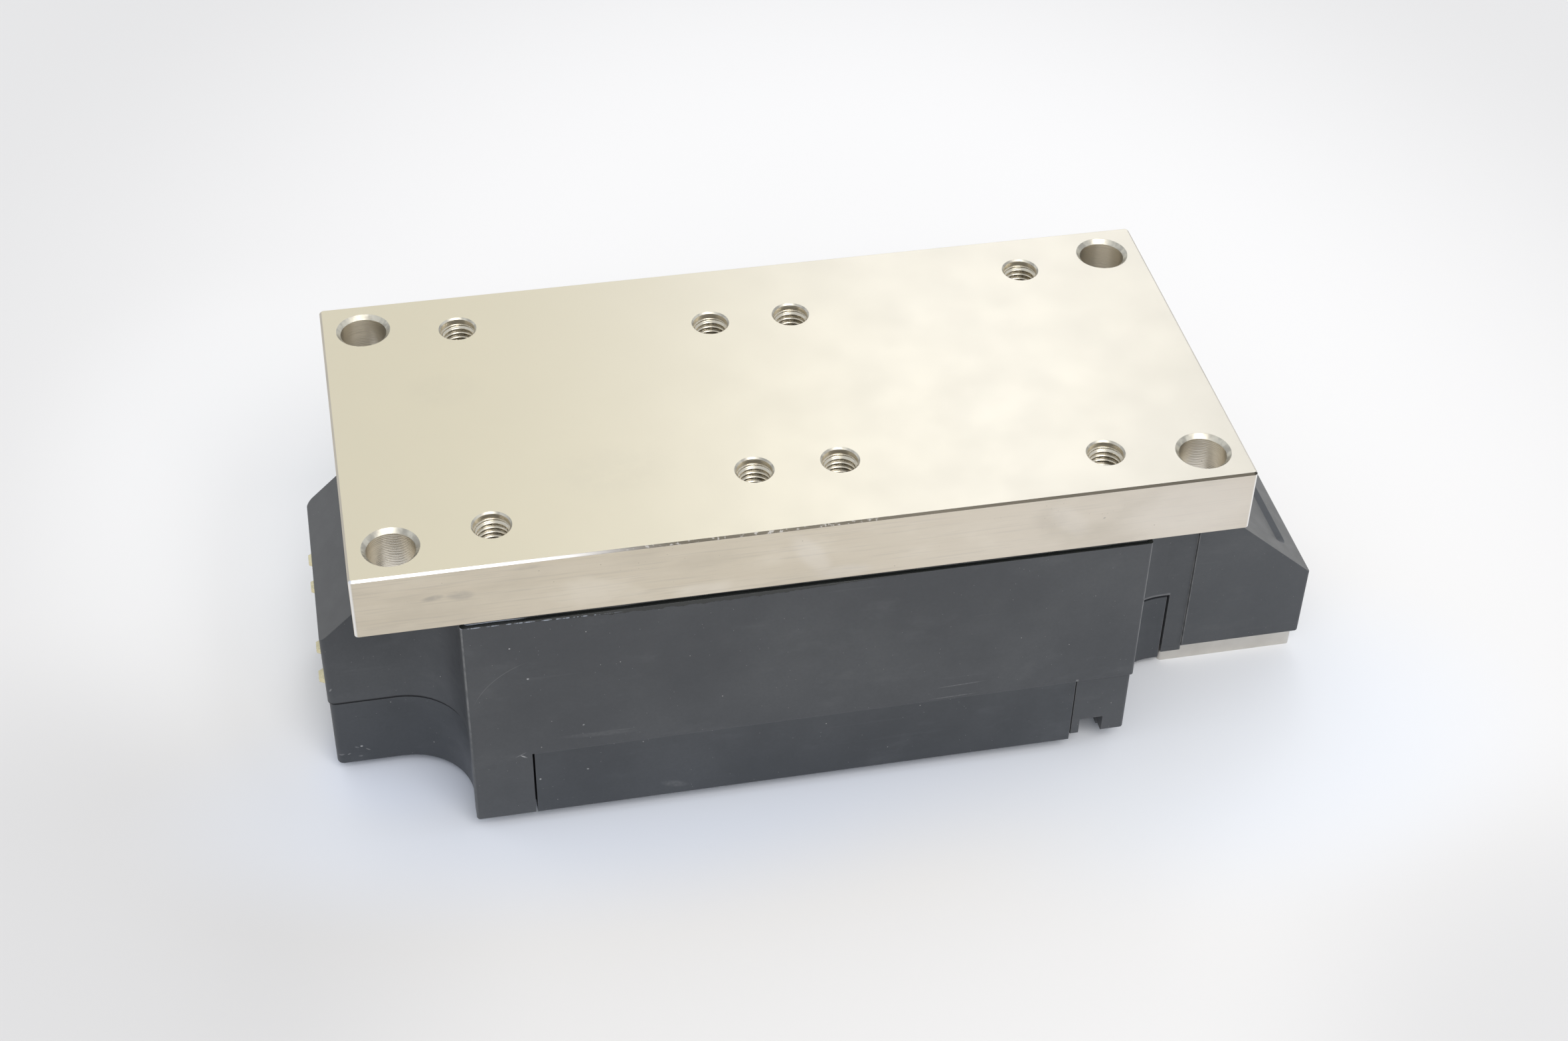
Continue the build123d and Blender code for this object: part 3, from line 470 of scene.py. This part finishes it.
def plated_plate():
    """Satin nickel plating on the machined copper plate."""
    material, tree, shader = new_material("satin_nickel_plate")
    x, y, z = coordinates(tree)
    up = upward(tree)
    on_top = ramp(tree, up, 0.85, 0.97)
    on_chamfer = inside(tree, up, 0.4, 0.85, 0.1)
    to_side = difference(tree, plate_high.y, distance(tree, y))
    to_end = difference(tree, plate_high.x, distance(tree, x))
    outer = ramp(tree, combine(tree, "MINIMUM", to_side, to_end), plate_edge, plate_edge_full)
    inner = difference(tree, 1.0, outer)
    in_bore = product(tree, inner, ramp(tree, up, 0.3, 0.1))
    at_side = ramp(tree, to_side, plate_edge, plate_edge_full)
    # Front chamfer: painted white as a highlight, which stays mostly at the left where it is not painted
    # dark
    front = product(tree, on_chamfer, at_side, ramp(tree, y, 0.0, -1 * mm))
    # Painted highlight on the plate's upright corner edges
    at_corner = ramp(tree, highest(tree, to_side, to_end), plate_edge, 0.2 * mm)
    streak = grain(tree, 1.0 * mm, stretch=(0.05, 0.05, 1), detail=4.0)
    hair = grain(tree, 0.25 * mm, stretch=(0.03, 0.03, 1))
    stain_grain = ramp(tree, grain(tree, 0.9 * mm, stretch=(0.5, 0.5, 1), detail=5.0), 0.3, 0.6, 0.4, 1.0)
    pits = plate_pits(tree, on_top)
    sides = paint(
        tree,
        side_colour(tree, x, streak, hair),
        (in_bore, (0.90, 0.85, 0.75, 1)),
        (at_corner, (0.95, 0.94, 0.92, 1)),
    )
    colour = paint(
        tree,
        sides,
        (on_top, face_colour(tree, x)),
        (product(tree, all_marks(tree, plate_stains), stain_grain), (0.36, 0.34, 0.31, 1)),
        (pits, (0.22, 0.19, 0.15, 1)),
        (front, (0.86, 0.86, 0.87, 1)),
        (product(tree, front, darkened_chamfer(tree, x)), (0.075, 0.068, 0.055, 1)),
        (product(tree, on_chamfer, inner), turned_colour(tree)),
    )
    # Finish: satin, with milling lines on the sides and turned rings in the bores
    face_rough = ramp(tree, grain(tree, 9 * mm, detail=4.0), 0.2, 0.8, 0.33, 0.37)
    side_rough = mix(tree, in_bore, ramp(tree, streak, 0.2, 0.8, 0.34, 0.46), 0.30)
    ring_turn = product(tree, z, tau / bore_ring_pitch)
    rings = node(tree, "ShaderNodeMath", {0: ring_turn}, operation="SINE").outputs[0]
    rings = total(tree, rings, product(tree, hair, 1.5))
    relief = total(
        tree,
        product(tree, rings, in_bore, 0.9),
        product(tree, hair, ramp(tree, on_top, 0.0, 1.0, 0.8, 0.0)),
        product(tree, grain(tree, 0.12 * mm, detail=2.0), 0.10),
    )
    normal = bump(tree, difference(tree, relief, pits), 0.010 * mm, edge_radius=0.10 * mm)
    rough = mix(tree, on_top, side_rough, face_rough)
    shader.inputs["Metallic"].default_value = 1.0
    connect(tree, shader, Base_Color=colour, Roughness=rough, Normal=normal)
    return material


# The housing's, the lid's and the adhesive's finish


def edge_rubs_and_highlights(tree):
    """Where the housing's corners are rubbed light and carry a painted highlight, and where the step face
    of its terminal end is painted light.
    """
    x, y, z = coordinates(tree)
    wide = distance(tree, y)
    # Corners: rubbed wear together with a painted highlight where the rounded edge catches light
    at_corner = product(
        tree,
        inside(tree, distance(tree, x), body_half_length - 0.25 * mm, body_half_length, 0.05 * mm),
        ramp(tree, wide, body_half_width - 0.6 * mm, body_half_width),
        ramp(tree, z, *corner_rub_and_highlight_levels, 0.3, 1.0),
    )
    at_step = product(
        # Painted light on the step face, which the seam leaves in shade
        tree,
        inside(tree, x, block_step_x - 0.10 * mm, block_step_x + 0.08 * mm, 0.10 * mm),
        ramp(tree, wide, block_step_inner_y, block_step_inner_y + 0.5 * mm),
    )
    broken = ramp(tree, grain(tree, 1.5 * mm, detail=4.0), 0.35, 0.6, 0.35, 1.0)
    return product(tree, highest(tree, at_corner, at_step), broken)


def slit_painted_light(tree):
    """Painted light in the slits at the terminal end, lifting the shade in them."""
    x, _, z = coordinates(tree)
    fade = 0.03 * mm
    in_skirt = inside(tree, x, skirt_slit_x - skirt_slit_half, skirt_slit_x + skirt_slit_half, fade)
    in_neck = inside(tree, x, neck_slit_x - neck_slit_half, neck_slit_x + neck_slit_half, fade)
    below_top = ramp(tree, z, slit_top + 0.05 * mm, slit_top)
    upright = product(tree, highest(tree, in_skirt, in_neck), below_top)
    between = inside(tree, x, body_half_length, neck_slit_x, 0.2 * mm)
    return highest(tree, upright, product(tree, inside(tree, z, *level_slit, fade), between))


def parting_shade(tree):
    """The dark line between the housing and the lid at the gate end."""
    x, _, z = coordinates(tree)
    line = inside(tree, z, parting_z - 0.02 * mm, parting_z + 0.14 * mm, 0.06 * mm)
    return product(tree, line, ramp(tree, x, -body_half_length, -body_half_length - 1 * mm))


def adhesive_smear(tree):
    """Adhesive that has run over the top of the housing's long sides, most in the middle."""
    x, y, z = coordinates(tree)
    middle = ramp(tree, distance(tree, x, smear_x), smear_half_length, 4 * mm)
    ragged = grain(tree, 1.6 * mm, stretch=(1, 0, 0), detail=5.0)
    run = product(tree, middle, ramp(tree, ragged, 0.3, 0.7, *smear_depths))
    below_run = difference(tree, difference(tree, rim_z, z), run)
    on_side = ramp(tree, distance(tree, y), body_half_width - 1 * mm, body_half_width - 0.8 * mm)
    return product(tree, ramp(tree, below_run, 0.06 * mm, 0.0), on_side)


def adhesive_glint(tree):
    """A broken bright line in the adhesive along the left part of the front side."""
    x, y, z = coordinates(tree)
    depth = ramp(tree, x, glint_left_x, glint_deepest_x, *glint_depths)
    away = distance(tree, difference(tree, rim_z, z), depth)
    dashes = ramp(tree, grain(tree, 1.2 * mm, stretch=(1, 0, 0), detail=4.0), 0.46, 0.56)
    return product(
        tree,
        ramp(tree, away, 0.10 * mm, 0.03 * mm),
        dashes,
        inside(tree, x, glint_left_x, glint_right_x, 8 * mm),
        ramp(tree, y, -body_half_width + 0.6 * mm, -body_half_width + 0.2 * mm),
    )


def moulded_plastic(name, base, worn, roughness, marks):
    """Dark moulded plastic with a fine skin, dust, faint rubs and edges that are worn light."""
    material, tree, shader = new_material(name)
    x = coordinates(tree)[0]
    shade = [v * 0.6 for v in base[:3]] + [1]
    cloud = ramp(tree, grain(tree, 22 * mm), 0.3, 0.7, 0.05, 0.30)
    rub = grain(tree, 5 * mm, stretch=(0.6, 0.6, 1.2), detail=6.0, roughness=0.6)
    hair = ramp(tree, grain(tree, 7 * mm, stretch=(0.25, 0.25, 6), detail=2.0), 0.70, 0.72)
    dust = specks(tree, 2.4 * mm, 0.11 * mm, seldom=0.60)
    fine_dust = specks(tree, 1.0 * mm, 0.07 * mm, seldom=0.35)
    broken = ramp(tree, grain(tree, 0.6 * mm, detail=4.0), 0.3, 0.6, 0.35, 1.0)
    rubbed = product(tree, all_marks(tree, marks), broken)
    rubbed = highest(tree, rubbed, product(tree, arc_scratch(tree), 0.14))
    smear = adhesive_smear(tree)
    # The terminal end is paler, and the slopes under the plate's ends get a painted sheen, lighter where
    # they face up
    paler = ramp(tree, x, body_half_length, body_half_length + 2 * mm, 0.0, 0.12)
    slope = inside(tree, upward(tree), 0.3, 0.8, 0.1)
    slope_sheen = product(tree, slope, ramp(tree, x, -10 * mm, 10 * mm, 0.42, 0.54))
    colour = paint(
        tree,
        base,
        (cloud, worn),
        (product(tree, grain(tree, 0.45 * mm, detail=2.0), 0.35), shade),
        (product(tree, ramp(tree, rub, 0.55, 0.75), 0.15), worn),
        (paler, worn),
        (slope_sheen, (0.150, 0.147, 0.136, 1)),
        (product(tree, edge_mask(tree, 0.22 * mm), 0.35), worn),
        (product(tree, hair, 0.06), worn),
        # Rubbed corners with painted highlights, and painted light on the step face
        (product(tree, edge_rubs_and_highlights(tree), 0.55), (0.24, 0.24, 0.235, 1)),
        (product(tree, dust, 0.60), (0.50, 0.49, 0.47, 1)),
        (product(tree, fine_dust, 0.40), (0.42, 0.42, 0.41, 1)),
        (rubbed, (0.36, 0.36, 0.36, 1)),
        (slit_painted_light(tree), (0.13, 0.133, 0.137, 1)),
        (parting_shade(tree), (0.006, 0.006, 0.007, 1)),
        (smear, (0.018, 0.020, 0.019, 1)),
        (product(tree, adhesive_glint(tree), 0.75), (0.50, 0.55, 0.63, 1)),
    )
    rough = ramp(tree, grain(tree, 3 * mm, detail=5.0), 0.2, 0.8, roughness - 0.05, roughness + 0.06)
    relief = total(
        tree,
        product(tree, grain(tree, 0.10 * mm, detail=2.0), 0.35),
        product(tree, grain(tree, 12 * mm, detail=1.0), 2.0),
        product(tree, dust, 0.8),
        product(tree, smear, 4.0),
    )
    normal = bump(tree, relief, 0.012 * mm, edge_radius=0.18 * mm)
    connect(tree, shader, Base_Color=colour, Roughness=mix(tree, smear, rough, 0.16), Normal=normal)
    return material


def sealant():
    """Glossy black adhesive, with a painted glint: a pale streak low on the bead at the left of the front
    side.
    """
    material, tree, shader = new_material("black_sealant")
    x, y, z = coordinates(tree)
    tone = grain(tree, 4 * mm)
    # Painted glint: a pale streak low on the bead
    streak = product(
        tree,
        ramp(tree, distance(tree, z, bead_glint_z), 0.22 * mm, 0.10 * mm),
        ramp(tree, y, -28.0 * mm, -28.5 * mm),
        inside(tree, x, *bead_glint_range, 2 * mm),
    )
    colour = paint(
        tree,
        (0.014, 0.015, 0.015, 1),
        (tone, (0.032, 0.034, 0.034, 1)),
        (product(tree, streak, 0.8), (0.55, 0.59, 0.66, 1)),
    )
    rough = ramp(tree, tone, 0.3, 0.7, 0.22, 0.36)
    normal = bump(tree, grain(tree, 1.5 * mm, stretch=(0.4, 0.4, 1)), 0.05 * mm)
    connect(tree, shader, Base_Color=colour, Roughness=rough, Normal=normal)
    return material


# Finishes of the plainer pieces and of the table


def metal(name, light, dark, roughness, size):
    """A metal with soft changes of tone and finish, and edges that are worn light."""
    material, tree, shader = new_material(name)
    tone = grain(tree, size, detail=4.0)
    wear = product(tree, edge_mask(tree, 0.15 * mm), 0.5)
    colour = paint(tree, dark, (tone, light), (wear, light))
    rough = ramp(tree, tone, 0.25, 0.75, roughness + 0.06, roughness - 0.06)
    normal = bump(tree, grain(tree, 0.15 * mm, detail=2.0), 0.006 * mm, edge_radius=0.12 * mm)
    shader.inputs["Metallic"].default_value = 1.0
    connect(tree, shader, Base_Color=colour, Roughness=rough, Normal=normal)
    return material


def pale_solid(name, light, dark, roughness, size):
    """A plain insulating material with a little variation."""
    material, tree, shader = new_material(name)
    tone = grain(tree, size, detail=4.0)
    rough = ramp(tree, tone, 0.25, 0.75, roughness - 0.07, roughness + 0.07)
    normal = bump(tree, grain(tree, 0.2 * mm), 0.01 * mm, edge_radius=0.12 * mm)
    connect(tree, shader, Base_Color=blend(tree, tone, dark, light), Roughness=rough, Normal=normal)
    return material


def table_oval(tree, centre, reach):
    """A soft oval on the table."""
    return oval(tree, (*centre, floor_z / mm), (*reach, 1.0))


def table_top():
    """Pale table with a painted pool of light, and painted light and shade round the part."""
    material, tree, shader = new_material("pale_table")
    # Painted pool of light on the table, with a little grain
    tone = mix(tree, 0.06, table_oval(tree, *table_light_pool), grain(tree, 200 * mm, detail=2.0))
    light_and_shade_ovals = [
        (product(tree, table_oval(tree, centre, reach), strength), tint)
        for centre, reach, strength, tint in table_light_and_shade
    ]
    colour = paint(tree, (0.785, 0.765, 0.738, 1), (tone, (0.945, 0.922, 0.890, 1)), *light_and_shade_ovals)
    rough = ramp(tree, grain(tree, 80 * mm), 0.3, 0.7, 0.52, 0.62)
    connect(tree, shader, Base_Color=colour, Roughness=rough)
    return material


nickel_plate = plated_plate()
thread_metal = metal("cut_thread", (0.82, 0.76, 0.63, 1), (0.60, 0.55, 0.44, 1), 0.26, 0.6 * mm)
terminal_metal = metal("tin_plating", (0.68, 0.655, 0.61, 1), (0.55, 0.525, 0.48, 1), 0.36, 3 * mm)
zinc_steel = metal("zinc_steel", (0.66, 0.66, 0.64, 1), (0.50, 0.50, 0.49, 1), 0.34, 2 * mm)
screw_steel = metal("black_steel", (0.16, 0.16, 0.17, 1), (0.08, 0.08, 0.085, 1), 0.38, 1 * mm)
spring_steel = metal("spring_steel", (0.42, 0.41, 0.40, 1), (0.30, 0.30, 0.30, 1), 0.32, 2 * mm)
tab_brass = metal("tab_brass", (0.86, 0.79, 0.54, 1), (0.70, 0.62, 0.38, 1), 0.28, 0.8 * mm)
housing_plastic = moulded_plastic(
    "housing_plastic", (0.0398, 0.0430, 0.0480, 1), (0.118, 0.123, 0.127, 1), 0.46, housing_marks
)
lid_plastic = moulded_plastic(
    "lid_plastic", (0.0275, 0.0312, 0.0360, 1), (0.098, 0.104, 0.113, 1), 0.44, lid_marks
)
black_sealant = sealant()
white_ceramic = pale_solid("white_ceramic", (0.85, 0.84, 0.80, 1), (0.78, 0.77, 0.73, 1), 0.35, 3 * mm)
tan_insulation = pale_solid("tan_insulation", (0.62, 0.50, 0.32, 1), (0.50, 0.39, 0.24, 1), 0.5, 4 * mm)
white_jacket = pale_solid("white_jacket", (0.80, 0.79, 0.76, 1), (0.70, 0.69, 0.66, 1), 0.45, 2 * mm)

# Finish of each CAD node that stays in view

node_materials = {
    "base_plate": nickel_plate,
    "housing": housing_plastic,
    "lid": lid_plastic,
    "terminal_bar_1": terminal_metal,
    "terminal_bar_2": terminal_metal,
    "terminal_bar_3": terminal_metal,
    "insulator_disc_a": white_ceramic,
    "insulator_disc_b": white_ceramic,
    "locating_ring_a": tan_insulation,
    "locating_ring_b": tan_insulation,
    "disc_cell_a": zinc_steel,
    "disc_cell_b": zinc_steel,
    "insulating_cap_a": tan_insulation,
    "insulating_cap_b": tan_insulation,
    "disc_springs_a": spring_steel,
    "disc_springs_b": spring_steel,
    "clamp_yoke_a": zinc_steel,
    "clamp_yoke_b": zinc_steel,
    "clamp_screws": screw_steel,
    "bar_insulator": tan_insulation,
    "riser_divider": tan_insulation,
    "gate_tabs": tab_brass,
    "gate_leads_a": white_jacket,
    "gate_leads_b": white_jacket,
}
for name, material in node_materials.items():
    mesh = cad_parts[name].data
    mesh.materials.clear()
    mesh.materials.append(material)


# Pieces that are modelled in finer detail than their CAD nodes


def add_piece(name, points, faces, material):
    """A mesh piece that rides on the part's only body."""
    mesh = bpy.data.meshes.new(name)
    mesh.from_pydata(points, [], faces)
    mesh.validate()
    mesh.materials.append(material)
    piece = bpy.data.objects.new(name, mesh)
    bpy.context.scene.collection.objects.link(piece)
    for face in mesh.polygons:
        face.use_smooth = True
    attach(piece, "root")
    return piece


def wrapped_grid(rows):
    """Faces that join closed rings of points, one after the other and the last to the first."""
    columns = len(rows[0])
    faces = []
    for r in range(len(rows)):
        below = (r + 1) % len(rows)
        for c in range(columns):
            right = (c + 1) % columns
            faces.append((
                r * columns + c,
                r * columns + right,
                below * columns + right,
                below * columns + c,
            ))
    return [point for row in rows for point in row], faces


def thread_radius(turn, minor, major):
    """Radius of an inner thread at that share of a pitch: flat crest, flank, flat root, flank."""
    along = turn % 1.0
    cut = min((along - crest_share) / flank_share, (1 - along) / flank_share, 1)
    return minor + (major - minor) * max(cut, 0)


def ring_of(centre, z, radius_at):
    """A ring of points about a vertical axis, with the radius given for each share of a turn."""
    ring = []
    for c in range(ring_columns):
        share = c / ring_columns
        radius = radius_at(share)
        ring.append((
            centre[0] + radius * cos(tau * share),
            centre[1] + radius * sin(tau * share),
            z,
        ))
    return ring


def thread_rings(centre, top, bottom, minor, major, pitch, chamfered_ends):
    """Rings of points down an inner thread, opened by a cone at the ends that are named."""
    count = round((top - bottom) / pitch * thread_rows)
    rings = []
    for r in range(count + 1):
        z = top - (top - bottom) * r / count
        cone = major - min([abs(z - end) for end in chamfered_ends])
        rings.append(ring_of(
            centre,
            z,
            lambda share: max(thread_radius(z / pitch + share, minor, major), cone),
        ))
    return rings


thread_top = plate_high.z - tapped_bore_depth
sleeve_radius = tapped_radius - thread_skin
for number, centre in enumerate(tapped_points, 1):
    rings = thread_rings(
        centre,
        thread_top,
        screw_tips_z,
        tapped_minor_radius,
        sleeve_radius - thread_skin,
        tapped_pitch,
        [thread_top],
    )
    outer = [ring_of(centre, z, lambda share: sleeve_radius) for z in (screw_tips_z, thread_top)]
    points, faces = wrapped_grid(rings + outer)
    add_piece(f"plate_thread_{number}", points, faces, thread_metal)


def hexagon(share):
    """Radius of the nut's six sides at that share of a turn, with flats across Y."""
    from_flat = (share * 6 + 0.5) % 1.0 - 0.5
    return nut_half_width / cos(from_flat * tau / 6)


for number, x in enumerate(nut_xs, 1):
    centre = (x, 0)
    inner = thread_rings(
        centre,
        nuts_high.z,
        nuts_low.z,
        nut_minor_radius,
        nut_major_radius,
        nut_pitch,
        [nuts_high.z, nuts_low.z],
    )
    corner_reach = nut_corner_radius - nut_half_width
    bottom = [
        (nuts_low.z + nut_corner_drop * share, nut_half_width + corner_reach * share)
        for share in nut_chamfer_shares
    ]
    top = [(nuts_high.z + nuts_low.z - z, radius) for z, radius in reversed(bottom)]
    outer = [
        ring_of(centre, z, lambda share: min(hexagon(share), radius)) for z, radius in bottom + top
    ]
    points, faces = wrapped_grid(inner + outer)
    nut = add_piece(f"terminal_nut_{number}", points, faces, zinc_steel)
    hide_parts("terminal_nuts")

# Adhesive bead between the plate and the housing, squeezed out a little unevenly


def rounded_rectangle(half_x, half_y, radius, step):
    """Points and outward directions round a rectangle whose corners are rounded."""
    trail = []
    for corner, (sign_x, sign_y) in enumerate(((1, 1), (-1, 1), (-1, -1), (1, -1))):
        middle = Vector((sign_x * (half_x - radius), sign_y * (half_y - radius), 0))
        for k in range(bead_corner_steps + 1):
            turn = (corner + k / bead_corner_steps) * pi / 2
            out = Vector((cos(turn), sin(turn), 0))
            trail.append((middle + out * radius, out))
        run = half_x - radius if corner % 2 == 0 else half_y - radius
        along = Vector((-sign_x, 0, 0)) if corner % 2 == 0 else Vector((0, -sign_y, 0))
        start = trail[-1][0]
        count = round(2 * run / step)
        for k in range(1, count):
            trail.append((start + along * 2 * run * k / count, trail[-1][1]))
    return trail


bead_height = seal_high.z - seal_low.z
rows = []
for point, out in rounded_rectangle(seal_high.x, seal_high.y, bead_corner_radius, bead_step):
    swell = sum(noise.noise(point * frequency) * weight for frequency, weight in bead_swells)
    reach = bead_reach * (bead_sure + bead_uneven * swell)
    ring = [point - out * bead_width + Vector((0, 0, z)) for z in (seal_low.z, seal_high.z)]
    for k in range(bead_profile_steps + 1):
        turn = pi * k / bead_profile_steps
        height = seal_high.z - bead_height * (1 - cos(turn)) / 2
        ring.append(point + out * (reach * sin(turn) - bead_reach) + Vector((0, 0, height)))
    rows.append(ring)
points, faces = wrapped_grid(rows)
bead = add_piece("adhesive_bead", points, faces, black_sealant)
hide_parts("base_seal")

# Camera, lights and table

camera_data = bpy.data.cameras.new("camera")
camera_data.sensor_fit = "HORIZONTAL"
camera_data.sensor_width = camera_sensor
camera_data.lens = camera_lens
camera_data.clip_start = camera_clip
camera = bpy.data.objects.new("camera", camera_data)
camera.location = camera_place
camera.rotation_euler = [radians(a) for a in camera_turn]
bpy.context.scene.collection.objects.link(camera)
bpy.context.scene.camera = camera


def soft_light(name, at, towards, width, height, watts, colour):
    """A large rectangular light that faces a point."""
    data = bpy.data.lights.new(name, "AREA")
    data.shape = "RECTANGLE"
    data.size = width
    data.size_y = height
    data.energy = watts
    data.color = colour
    light = bpy.data.objects.new(name, data)
    light.location = at
    aim = Vector(towards) - Vector(at)
    light.rotation_euler = aim.to_track_quat("-Z", "Y").to_euler()
    bpy.context.scene.collection.objects.link(light)


soft_light(
    "front_key",
    at=(0.15, -0.95, 1.15),
    towards=(0, 0, 0),
    width=1.0,
    height=0.8,
    watts=10.5,
    colour=(1.0, 0.97, 0.93),
)
soft_light(
    "back_panel",
    at=(0.30, 1.60, 1.30),
    towards=(0, 0, 0),
    width=2.4,
    height=1.4,
    watts=1.1,
    colour=(1.0, 0.99, 0.97),
)
soft_light(
    "back_glare",
    at=(0.34, 0.92, 0.80),
    towards=(0.02, -0.01, 0),
    width=0.32,
    height=0.3,
    watts=0.56,
    colour=(0.99, 1.0, 0.99),
)

world = bpy.data.worlds.new("studio")
world.use_nodes = True
sky = world.node_tree.nodes["Background"].inputs
sky["Color"].default_value = (0.89, 0.93, 1.0, 1)
sky["Strength"].default_value = 0.82
bpy.context.scene.world = world
bpy.context.scene.view_settings.view_transform = "Standard"

floor_reach = 4.0
floor_mesh = bpy.data.meshes.new("table")
floor_mesh.from_pydata(
    [(x * floor_reach, y * floor_reach, floor_z) for x, y in ((-1, -1), (1, -1), (1, 1), (-1, 1))],
    [],
    [(0, 1, 2, 3)],
)
floor_mesh.materials.append(table_top())
floor = bpy.data.objects.new("table", floor_mesh)
bpy.context.scene.collection.objects.link(floor)
